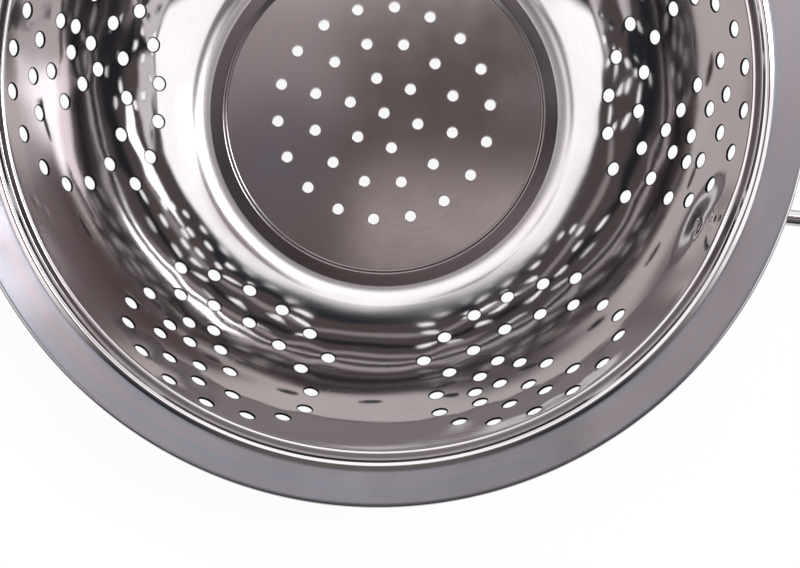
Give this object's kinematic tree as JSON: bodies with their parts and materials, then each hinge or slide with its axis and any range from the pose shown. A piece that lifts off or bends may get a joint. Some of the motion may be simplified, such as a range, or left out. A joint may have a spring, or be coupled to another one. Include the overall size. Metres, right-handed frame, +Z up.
{
  "type": "colander",
  "caption": "Round drawn steel colander with a perforated floor and wall, a flared rim, a foot ring and two fixed side handles.",
  "frame": {"origin": "on the table under the bowl's axis, at the middle of the foot ring", "axes": "+Z up along the bowl's axis, +X towards the right handle"},
  "size_m": [0.323, 0.26, 0.0952],
  "materials": {
    "bowl_steel": "mirror-polished stainless steel, with a satin brushed flange",
    "foot_steel": "satin stainless steel",
    "handle_steel": "polished stainless steel"
  },
  "bodies": {
    "root": {"bowl": "bowl_steel", "foot_ring": "foot_steel", "handle_right": "handle_steel", "handle_left": "handle_steel"}
  },
  "joints": []
}
